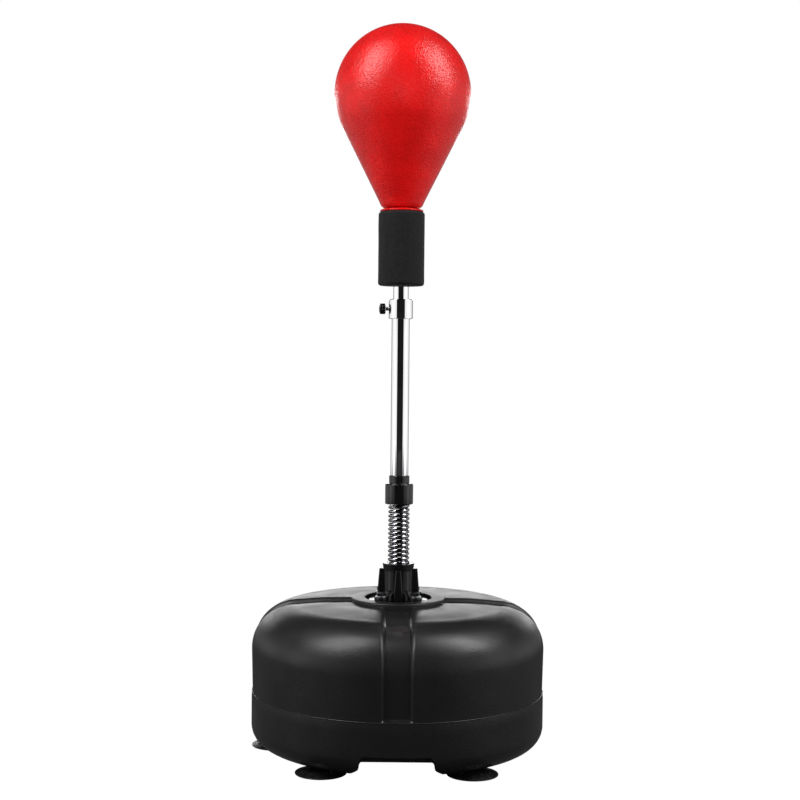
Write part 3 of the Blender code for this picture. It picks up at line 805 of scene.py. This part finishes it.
class BALLSTAND_OT_base_drum(bpy.types.Operator):
    """Make the base: a drum with four grooves, a ring round its well, a seam and a grip notch"""

    bl_idname = "ballstand.base_drum"
    bl_label = "Base drum"

    def execute(self, context):
        drum = as_object("base_drum", drum_shape(), "plastic", sharp=50)
        for cutter in notch_cutter():
            drum = cut(drum, cutter)
        mouth = high("filler_seal").z
        centre = middle_of("filler_cap")
        foot, crown = mouth - MOUTH_CUT_DEPTH, 0.30
        sides = [(0, foot), (MOUTH_CUT_RADIUS, foot), (MOUTH_CUT_RADIUS, crown), (0, crown)]
        hole = moved(spun(sides, 48), (centre.x, centre.y, 0))
        drum = cut(drum, as_object("filler_cutter", hole, "plastic"))
        sharpen(drum, 50)
        settle(drum, "base", "base_plastic", "base_shell")
        return {"FINISHED"}


class BALLSTAND_OT_suction_cups(bpy.types.Operator):
    """Make the five suction cups, each with fine ribs on its upper side"""

    bl_idname = "ballstand.suction_cups"
    bl_label = "Suction cups"

    def execute(self, context):
        outline = (
            (0, 0.0055), (0.020, 0.0042, 0.004), (0.0335, 0.0012, 0.003), (0.0360, 0, 0.0006), (0.0382, 0),
            (0.0385, 0.0006, 0.0003), (0.0382, 0.0013, 0.0003), (0.030, 0.0036, 0.006),
            (0.016, 0.0078, 0.006), (0.0100, 0.0092, 0.001), (0.0090, 0.0097), (0.0060, 0.0097),
            (0.0060, 0.0220, 0.0015), (0, 0.0225),
        )
        rib = block(0.0155, 0.0220, 0.0345, 0.0022, 0.0072, 0.0003, 0.0006, edge=0.0001)
        for index in range(1, 6):
            name = f"suction_cup_{index}"
            middle = middle_of(name)
            cup = turned(f"cup_rubber_{index}", outline, "rubber", 72, closed=False)
            ribs = copies(f"cup_ribs_{index}", rib.copy(), sizes().cup_ribs, 0, "rubber")
            piece = merged(f"suction_cup_rubber_{index}", [cup, ribs])
            piece.data.transform(Matrix.Translation((middle.x, middle.y, 0)))
            sharpen(piece)
            settle(piece, "base", "black_rubber", name)
        rib.free()
        return {"FINISHED"}


class BALLSTAND_OT_filler_cap(bpy.types.Operator):
    """Make the filler cap, with a knurled flange and a grip bar"""

    bl_idname = "ballstand.filler_cap"
    bl_label = "Filler cap"

    def execute(self, context):
        seat = high("filler_seal").z + GAP
        bottom = low("filler_cap").z
        middle = middle_of("filler_cap")
        outline = (
            (0, bottom), (0.0115, bottom, 0.001), (0.0130, bottom + 0.0018, 0.0005), (0.0130, seat),
            (0.0175, seat, 0.0004), (0.0175, seat + 0.0036, 0.0008), (0.0100, seat + 0.0036, 0.001),
            (0.0085, seat + 0.0022, 0.001), (0, seat + 0.0022),
        )
        disc = turned("filler_disc", outline, "plastic", 72, closed=False)
        knurl = block(0.0172, 0.0178, 0.0180, seat + 0.0004, seat + 0.0030, 0.0004, 0.0005, edge=0.0001)
        rim = copies("filler_knurl", knurl, 40, 0, "plastic")
        bar = block(-0.0082, 0.0082, 0.0082, seat + 0.0016, seat + 0.0062, 0.0016, 0.0022, edge=0.0007)
        grip = as_object("filler_grip", bar, "plastic")
        piece = merged("filler_cap_moulding", [disc, rim, grip])
        piece.data.transform(Matrix.Translation((middle.x, middle.y, 0)))
        sharpen(piece)
        settle(piece, "filler", "base_plastic", "filler_cap")
        return {"FINISHED"}


# ---------------------------------------------------------------- socket, spring and collar


class BALLSTAND_OT_spring_socket(bpy.types.Operator):
    """Make the glossy spring socket: an eight-sided flange, four ribs, small lugs and bolt bosses"""

    bl_idname = "ballstand.spring_socket"
    bl_label = "Spring socket"

    def execute(self, context):
        bottom = low("spring_socket").z
        top = high("spring_socket").z
        flange_top = bottom + FLANGE_THICKNESS
        core = (
            (0.0060, bottom), (0.0300, bottom), (0.0300, flange_top - 0.001, 0.0005),
            (0.0262, flange_top + 0.002, 0.003), (SOCKET_RADIUS, flange_top + 0.0135, 0.006),
            (SOCKET_RADIUS, top - 0.0110, 0.012), (0.0249, top - 0.0012, 0.0006), (0.0247, top, 0.0006),
            (SPRING_BORE, top, 0.0008), (SPRING_BORE, top - SPRING_BORE_DEPTH),
            (0.0060, top - SPRING_BORE_DEPTH),
        )
        parts = [turned("socket_core", core, "gloss")]
        flange = [
            (0.0240, bottom), (FLANGE_RADIUS - 0.0006, bottom), (FLANGE_RADIUS, bottom + 0.0008),
            (FLANGE_RADIUS, flange_top - 0.0012), (FLANGE_RADIUS - 0.0005, flange_top - 0.0004),
            (FLANGE_RADIUS - 0.0014, flange_top), (0.0240, flange_top),
        ]
        plate = spun(flange, 8, closed=True)
        bmesh.ops.rotate(plate, verts=plate.verts, matrix=Matrix.Rotation(math.radians(22.5), 3, "Z"))
        parts.append(as_object("socket_flange", plate, "gloss", sharp=30))
        rib = block(0.0200, 0.0300, 0.0340, flange_top - 0.002, top - 0.0090, 0.0040, 0.0075, edge=0.0013)
        parts.append(copies("socket_ribs", rib, 4, 0, "gloss"))
        for side in (-22, 22):
            lug = block(0.0215, 0.0330, 0.0350, flange_top - 0.0015, flange_top + 0.0115, 0.0022, 0.0026)
            parts.append(copies(f"socket_lugs_{side + 22}", lug, 4, side, "gloss"))
        boss = moved(spun(filleted([
            (0.0045, bottom + 0.0015), (0.0102, bottom + 0.0015), (0.0100, bottom + 0.0135, 0.001),
            (0.0045, bottom + 0.0135),
        ], closed=True), 40, closed=True), (BOLT_CIRCLE, 0, 0))
        parts.append(copies("socket_bosses", boss, 4, 45, "gloss"))
        piece = merged("socket_moulding", parts)
        sharpen(piece)
        settle(piece, "base", "gloss_black_plastic", "spring_socket")
        return {"FINISHED"}


def hexagon_head(bottom, height, corner_radius):
    """A bolt head: a hexagon with its top corners turned off by a cone."""
    shape = bmesh.new()
    rings = []
    for radius, level in (
        (corner_radius * 0.97, bottom), (corner_radius, bottom + 0.0004),
        (corner_radius, bottom + height - 0.0009), (corner_radius * 0.9, bottom + height),
    ):
        ring = []
        for step in range(36):
            angle = math.tau * step / 36
            flat = radius * math.cos(math.pi / 6) / math.cos((angle % (math.pi / 3)) - math.pi / 6)
            reach = min(flat, corner_radius * 0.93) if level > bottom + height - 0.0005 else flat
            ring.append(shape.verts.new((reach * math.cos(angle), reach * math.sin(angle), level)))
        rings.append(ring)
    for lower, upper in zip(rings, rings[1:]):
        for step in range(36):
            following = (step + 1) % 36
            shape.faces.new((lower[step], lower[following], upper[following], upper[step]))
    shape.faces.new(list(reversed(rings[0])))
    shape.faces.new(rings[-1])
    return shape


def threaded(radius, bottom, top, pitch):
    """An outline of a rod with thread crests along it."""
    depth = pitch * THREAD_DEPTH
    points = [(0, bottom), (radius - depth, bottom)]
    level = bottom + pitch * 0.5
    while level < top - pitch * 0.5:
        points += [(radius - depth, level - pitch * 0.25), (radius, level)]
        level += pitch
    points += [(radius - depth, top), (0, top)]
    return points


class BALLSTAND_OT_socket_bolts(bpy.types.Operator):
    """Make the four hexagon bolts and the washers under them"""

    bl_idname = "ballstand.socket_bolts"
    bl_label = "Socket bolts and washers"

    def execute(self, context):
        bottom = low("socket_bolt_1").z
        washer_top = high("socket_washer_1").z
        head = hexagon_head(washer_top + GAP, BOLT_HEAD_HEIGHT, BOLT_HEAD_RADIUS)
        moved(head, (BOLT_CIRCLE, 0, 0))
        thread = threaded(BOLT_RADIUS, bottom, washer_top + 0.001, BOLT_PITCH)
        shank = moved(spun(thread, 24), (BOLT_CIRCLE, 0, 0))
        heads = copies("bolt_heads", head, 4, 45, "black steel", sharp=25)
        shanks = copies("bolt_shanks", shank, 4, 45, "black steel")
        bolts = merged("socket_bolts", [heads, shanks])
        settle(bolts, "base", "black_steel", *[f"socket_bolt_{index}" for index in range(1, 5)])
        under = washer_top - WASHER_THICKNESS
        ring = filleted([
            (0.0043, under, 0.0002), (0.0085, under, 0.0003),
            (0.0085, washer_top, 0.0003), (0.0043, washer_top, 0.0002),
        ], closed=True, steps=3)
        washer = moved(spun(ring, 40, closed=True), (BOLT_CIRCLE, 0, 0))
        washers = copies("socket_washers", washer, 4, 45, "zinc")
        settle(washers, "base", "zinc_steel", *[f"socket_washer_{index}" for index in range(1, 5)])
        return {"FINISHED"}


class BALLSTAND_OT_coil_spring(bpy.types.Operator):
    """Wind the spring in two halves"""

    bl_idname = "ballstand.coil_spring"
    bl_label = "Coil spring"

    def execute(self, context):
        tree = coil_tree()
        outer = high("coil_spring").x
        first = low("coil_spring").z + WIRE_RADIUS
        last = high("coil_spring").z - WIRE_RADIUS
        pitch = (last - first) / SPRING_TURNS
        middle = first + pitch * LOWER_TURNS
        halves = (
            ("spring_lower_half", LOWER_TURNS, first, 0.0),
            ("spring_upper_half", SPRING_TURNS - LOWER_TURNS, middle, math.tau * LOWER_TURNS),
        )
        made = []
        for name, turns, start, phase in halves:
            values = {
                "Coil radius": outer - WIRE_RADIUS, "Wire radius": WIRE_RADIUS, "Turns": float(turns),
                "Height": pitch * turns, "Material": finish("plated wire"),
            }
            place = Matrix.Translation((0, 0, start)) @ Matrix.Rotation(phase, 4, "Z")
            made.append(run_tree(name, tree, values, place))
        lower, upper = made
        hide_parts("coil_spring")
        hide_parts("coil_spring")
        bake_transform(lower)
        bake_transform(upper)
        return {"FINISHED"}


class BALLSTAND_OT_pole(bpy.types.Operator):
    """Make the stepped collar, the two chromed tubes and the clamp collar"""

    bl_idname = "ballstand.pole"
    bl_label = "Collar and pole"

    def execute(self, context):
        bottom, top = low("spring_collar").z, high("spring_collar").z
        step = bottom + COLLAR_STEP
        tube_foot = low("lower_tube").z
        tube_radius = high("lower_tube").x
        outline = (
            (SPRING_BORE, bottom, 0.0006), (0.0220, bottom, 0.0012), (0.0220, step, 0.0022),
            (0.0160, step, 0.0008), (0.0160, top, 0.0010), (tube_radius + GAP, top, 0.0004),
            (tube_radius + GAP, tube_foot - GAP), (0.0053, tube_foot - GAP),
            (0.0053, tube_foot - 0.0045), (SPRING_BORE, tube_foot - 0.0045),
        )
        collar = turned("spring_collar_moulding", outline, "gloss")
        settle(collar, "pole", "gloss_black_plastic", "spring_collar")
        for node, bore, body in (
            ("lower_tube", LOWER_TUBE_BORE, "pole"), ("upper_tube", UPPER_TUBE_BORE, "head"),
        ):
            foot, crown, radius = low(node).z, high(node).z, high(node).x
            wall = (
                (bore, foot, 0.0003), (radius, foot, 0.0004),
                (radius, crown, 0.0004), (bore, crown, 0.0003),
            )
            tube = turned(f"{node}_chromed", wall, "chrome", fillet_steps=3)
            settle(tube, body, "chrome_plate", node)
        foot, crown, radius = low("clamp_collar").z, high("clamp_collar").z, high("clamp_collar").y
        lip = high("upper_tube").x + 0.0004
        seat = high("lower_tube").z + GAP
        outline = (
            (tube_radius + GAP, foot, 0.0003), (radius, foot, 0.0010), (radius, crown, 0.0014),
            (lip, crown, 0.0005), (lip, seat), (tube_radius + GAP, seat),
        )
        clamp = turned("clamp_collar_chromed", outline, "chrome")
        settle(clamp, "pole", "chrome_plate", "clamp_collar")
        return {"FINISHED"}


class BALLSTAND_OT_clamp_screw(bpy.types.Operator):
    """Make the clamp screw with its thread, and the waisted knob with a scalloped rim"""

    bl_idname = "ballstand.clamp_screw"
    bl_label = "Clamp screw and knob"

    def execute(self, context):
        inner, outer = -high("clamp_screw").x, -low("clamp_screw").x
        rod = spun(threaded(CLAMP_SCREW_RADIUS, inner, outer, CLAMP_SCREW_PITCH), 32)
        bmesh.ops.transform(rod, matrix=CLAMP_TURN, verts=rod.verts)
        screw = as_object("clamp_screw_threaded", rod, "zinc")
        settle(screw, "clamp_screw_turning", "zinc_steel", "clamp_screw")
        near, far = -high("clamp_knob").x, -low("clamp_knob").x
        outline = (
            (0, near), (0.0062, near, 0.0006), (0.0080, near + 0.0014, 0.0008),
            (0.0080, near + 0.0040, 0.0006), (0.0070, near + 0.0052, 0.0006),
            (0.0080, near + 0.0064, 0.0006), (0.0076, far - 0.0016, 0.0014),
            (0.0050, far - 0.0003, 0.002), (0, far),
        )
        core = turned("knob_core", outline, "gloss", 64, closed=False)
        lobe = block(0.0066, 0.0083, 0.0084, near + 0.0008, far - 0.0018, 0.0010, 0.0011, edge=0.0005)
        lobes = copies("knob_lobes", lobe, 10, 0, "gloss")
        knob = merged("clamp_knob_moulding", [core, lobes])
        knob.data.transform(CLAMP_TURN)
        sharpen(knob)
        settle(knob, "clamp_screw_turning", "gloss_black_plastic", "clamp_knob")
        return {"FINISHED"}


# ---------------------------------------------------------------- sleeve and ball


def sleeve_shape():
    """The foam sleeve: soft rounded ends, a slightly uneven wall and a nick where its slit starts."""
    bottom, top = low("foam_sleeve").z, high("foam_sleeve").z
    radius = high("foam_sleeve").y - 0.0004
    bore = high("upper_tube").x + GAP
    outline = [(bore, bottom), (bore + 0.010, bottom), (radius - 0.010, bottom)]
    inset, low_end, high_end = radius - SLEEVE_ROUNDING, bottom + SLEEVE_ROUNDING, top - SLEEVE_ROUNDING
    outline += arc((inset, low_end), SLEEVE_ROUNDING, -90, 0, 7)
    rows = 44
    for row in range(1, rows):
        outline.append((radius, low_end + (high_end - low_end) * row / rows))
    outline += arc((inset, high_end), SLEEVE_ROUNDING, 0, 90, 7)
    outline += [(radius - 0.010, top), (bore + 0.010, top), (bore, top)]
    shape = spun(outline, 180, closed=True)
    slit = math.radians(SLIT_ANGLE)
    for vert in shape.verts:
        reach = math.hypot(vert.co.x, vert.co.y)
        if reach < radius - 0.012:
            continue
        angle = math.atan2(vert.co.y, vert.co.x)
        away = Vector((vert.co.x, vert.co.y, 0)).normalized()
        wander = Vector((math.cos(angle) * 2.0, math.sin(angle) * 2.0, vert.co.z * 30))
        uneven = noise.noise(wander) * 0.0004
        side = math.remainder(angle - slit, math.tau) * radius
        down = max(0.0, 1 - (top - vert.co.z) / 0.016)
        nick = -0.0022 * down * math.exp(-(side / 0.0013) ** 2)
        vert.co += away * (uneven + nick)
    return shape


class BALLSTAND_OT_foam_sleeve(bpy.types.Operator):
    """Make the foam sleeve round the upper tube"""

    bl_idname = "ballstand.foam_sleeve"
    bl_label = "Foam sleeve"

    def execute(self, context):
        sleeve = as_object("foam_sleeve_soft", sleeve_shape(), "foam", sharp=80)
        settle(sleeve, "head", "sleeve_foam", "foam_sleeve")
        return {"FINISHED"}


def ball_outline():
    """The pear's outer outline from the crown down to its mouth, then back up inside the skin."""
    radius = high("ball_skin").x + 0.0003
    top, bottom = high("ball_skin").z, low("ball_skin").z
    stretch = (top - BALL_CENTRE_HEIGHT) / radius
    outside = [(0, top)]
    for r, h in arc((0, BALL_CENTRE_HEIGHT), radius, 90, -CONE_ANGLE, 70)[1:]:
        lift = h - BALL_CENTRE_HEIGHT
        outside.append((r, BALL_CENTRE_HEIGHT + lift * (stretch if lift > 0 else 1)))
    start = Vector(outside[-1])
    end = Vector((BALL_NECK_RADIUS + 0.0088, bottom + 0.0118))
    for step in range(1, 30):
        outside.append(tuple(start.lerp(end, step / 30)))
    outside += filleted([
        tuple(end), (BALL_NECK_RADIUS + 0.0042, bottom + 0.0012, 0.009), (MOUTH_RADIUS, bottom),
    ], steps=6)
    inside = [(MOUTH_RADIUS, bottom + SKIN_THICKNESS)]
    for r, h in reversed(outside[:-6:4]):
        lift = 0.0012 if h < BALL_CENTRE_HEIGHT else -SKIN_THICKNESS
        inside.append((max(r - SKIN_THICKNESS, 0), h + lift))
    inside[-1] = (0, top - SKIN_THICKNESS)
    return outside + [
        (r, h) for r, h in inside if r >= MOUTH_RADIUS or h > BALL_CENTRE_HEIGHT
    ]


class BALLSTAND_OT_ball(bpy.types.Operator):
    """Make the red ball and the skirt ring under it"""

    bl_idname = "ballstand.ball"
    bl_label = "Ball and skirt ring"

    def execute(self, context):
        ball = as_object("ball_leather", spun(ball_outline(), 144), "leather", sharp=60)
        settle(ball, "head", "red_leatherette", "ball_skin")
        bottom, top = low("ball_skirt_ring").z, high("ball_skirt_ring").z
        outline = (
            (MOUTH_RADIUS, bottom), (0.0330, bottom, 0.0008), (0.0344, bottom + 0.0012, 0.0008),
            (0.0330, bottom + 0.0026, 0.001), (0.0290, top - 0.0003, 0.002), (MOUTH_RADIUS, top),
        )
        skirt = turned("ball_skirt_leather", outline, "leather")
        settle(skirt, "head", "red_leatherette", "ball_skirt_ring")
        return {"FINISHED"}


# ---------------------------------------------------------------- CAD nodes that stay


KEPT_NODES = {
    "rubber": ("socket_gasket", "filler_seal", "bladder_valve"),
    "zinc": (
        "spring_bolt", "lower_spring_plug", "upper_spring_plug", "tube_plug", "tube_top_nut", "ball_stud",
    ),
    "plastic": ("tube_end_plug", "ball_mount_disc"),
    "brass": ("clamp_pad", *(f"socket_insert_{index}" for index in range(1, 5))),
    "latex": ("ball_bladder",),
}


class BALLSTAND_OT_inner_parts(bpy.types.Operator):
    """Give the inner CAD pieces their own finishes"""

    bl_idname = "ballstand.inner_parts"
    bl_label = "Inner parts"

    def execute(self, context):
        for look, names in KEPT_NODES.items():
            for name in names:
                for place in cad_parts[name].material_slots:
                    place.material = finish(look)
        return {"FINISHED"}


# ---------------------------------------------------------------- floor, light and camera


def softbox(name, azimuth, elevation, distance, width, height, radiance):
    """A softbox that faces the ball. Azimuth 0 is the front and grows towards the left."""
    side, rise = math.radians(azimuth), math.radians(elevation)
    data = bpy.data.lights.new(name, "AREA")
    data.shape = "RECTANGLE"
    data.size = width
    data.size_y = height
    data.energy = radiance * math.pi * width * height
    panel = linked(name, data)
    away = Vector((-math.sin(side) * math.cos(rise), -math.cos(side) * math.cos(rise), math.sin(rise)))
    panel.location = Vector((0, 0, STAGE_CENTRE)) + away * distance
    panel.rotation_euler = (-away).to_track_quat("-Z", "Y").to_euler()
    panel.visible_camera = False
    return panel


def stage_strength(tree, around, share):
    """A strength of 1 towards the camera, and the cove's level times its share everywhere else."""
    level = add_node(tree, "ShaderNodeMath", operation="MULTIPLY", links=[(0, around), (1, share)])
    path = add_node(tree, "ShaderNodeLightPath")
    return add_node(
        tree, "ShaderNodeMath", operation="MAXIMUM",
        links=[(0, path.outputs["Is Camera Ray"]), (1, level.outputs[0])],
    ).outputs[0]


def cove_level(tree, direction):
    """The cove's brightness round the stand: dark in front, white at the sides, grey at the back."""
    height = add_node(tree, "ShaderNodeSeparateXYZ", links=[("Vector", direction)])
    level = add_node(
        tree, "ShaderNodeVectorMath", operation="MULTIPLY", links=[(0, direction)], inputs=[(1, (1, 1, 0))]
    )
    heading = add_node(
        tree, "ShaderNodeVectorMath", operation="NORMALIZE", links=[("Vector", level.outputs["Vector"])]
    )
    parts = add_node(tree, "ShaderNodeSeparateXYZ", links=[("Vector", heading.outputs["Vector"])])
    depth = spread(tree, parts.outputs["Y"], 0.0, 1.0, -1.0, 1.0)
    stops = [(position, (grey, grey, grey, 1)) for position, grey in COVE_STOPS]
    return ramp(tree, depth, *stops), height.outputs["Z"]


def studio_world():
    """A white cove, dimmer overhead."""
    world = bpy.data.worlds.new("Studio")
    world.use_nodes = True
    tree = world.node_tree
    background = tree.nodes["Background"]
    background.inputs["Color"].default_value = (1, 1, 1, 1)
    place = add_node(tree, "ShaderNodeTexCoord")
    around, height = cove_level(tree, place.outputs["Generated"])
    overhead = spread(tree, height, 1.0, 0.15, 0.12, 0.40)
    tree.links.new(stage_strength(tree, around, overhead), background.inputs["Strength"])
    return world


def pale_floor():
    """A white floor that throws little light up onto the stand near by, and more from far away."""
    mesh = bpy.data.meshes.new("pale_floor")
    corners = [(x * FLOOR_REACH, y * FLOOR_REACH, 0) for x, y in ((-1, -1), (1, -1), (1, 1), (-1, 1))]
    mesh.from_pydata(corners, [], [(0, 1, 2, 3)])
    floor = linked("pale_floor", mesh)
    made, tree, shader = material("White cove paint", "2C2C2C", 0.9, specular=0.0)
    shader.inputs["Emission Color"].default_value = (1, 1, 1, 1)
    place = add_node(tree, "ShaderNodeTexCoord").outputs["Object"]
    distance = add_node(tree, "ShaderNodeVectorMath", operation="LENGTH", links=[("Vector", place)])
    glow = spread(tree, distance.outputs["Value"], FLOOR_GLOW, 1.0, 1.5, 2.8)
    around = cove_level(tree, place)[0]
    tree.links.new(stage_strength(tree, around, glow), shader.inputs["Emission Strength"])
    mesh.materials.append(made)


class BALLSTAND_OT_stage(bpy.types.Operator):
    """Set the pale floor, the soft studio light and the camera"""

    bl_idname = "ballstand.stage"
    bl_label = "Stage"

    def execute(self, context):
        scene = context.scene
        pale_floor()
        scene.world = studio_world()
        for *values, hidden_from in SOFTBOXES:
            panel = softbox(*values)
            if hidden_from:
                setattr(panel, hidden_from, False)
        data = bpy.data.cameras.new("camera")
        camera = linked("camera", data)
        data.lens = CAMERA_LENS
        data.sensor_width = 36
        camera.location = CAMERA_PLACE
        dip = Matrix.Rotation(math.radians(90 - CAMERA_DIP), 3, "X")
        camera.rotation_euler = (dip @ Matrix.Rotation(math.radians(CAMERA_ROLL), 3, "Z")).to_euler()
        scene.camera = camera
        scene.view_settings.view_transform = "Standard"
        return {"FINISHED"}


class BALLSTAND_PT_panel(bpy.types.Panel):
    """Lists the pieces in the order in which they are made"""

    bl_label = "Boxing Ball"
    bl_idname = "BALLSTAND_PT_panel"
    bl_space_type = "VIEW_3D"
    bl_region_type = "UI"
    bl_category = "Boxing Ball"

    def draw(self, context):
        for group in (context.scene.ballstand_sizes, context.scene.ballstand_colours):
            for name in group.__annotations__:
                self.layout.prop(group, name)
        for operator in OPERATORS:
            self.layout.operator(operator.bl_idname)


OPERATORS = (
    BALLSTAND_OT_stage,
    BALLSTAND_OT_base_drum,
    BALLSTAND_OT_suction_cups,
    BALLSTAND_OT_filler_cap,
    BALLSTAND_OT_spring_socket,
    BALLSTAND_OT_socket_bolts,
    BALLSTAND_OT_coil_spring,
    BALLSTAND_OT_pole,
    BALLSTAND_OT_clamp_screw,
    BALLSTAND_OT_foam_sleeve,
    BALLSTAND_OT_ball,
    BALLSTAND_OT_inner_parts,
)
CLASSES = (BALLSTAND_PG_colours, BALLSTAND_PG_sizes, *OPERATORS, BALLSTAND_PT_panel)


def register():
    for item in CLASSES:
        bpy.utils.register_class(item)
    bpy.types.Scene.ballstand_sizes = bpy.props.PointerProperty(type=BALLSTAND_PG_sizes)
    bpy.types.Scene.ballstand_colours = bpy.props.PointerProperty(type=BALLSTAND_PG_colours)


def unregister():
    del bpy.types.Scene.ballstand_colours
    del bpy.types.Scene.ballstand_sizes
    for item in reversed(CLASSES):
        bpy.utils.unregister_class(item)


def main():
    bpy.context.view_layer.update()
    register()
    for operator in OPERATORS:
        group, name = operator.bl_idname.split(".")
        getattr(getattr(bpy.ops, group), name)()


if __name__ == "__main__":
    main()
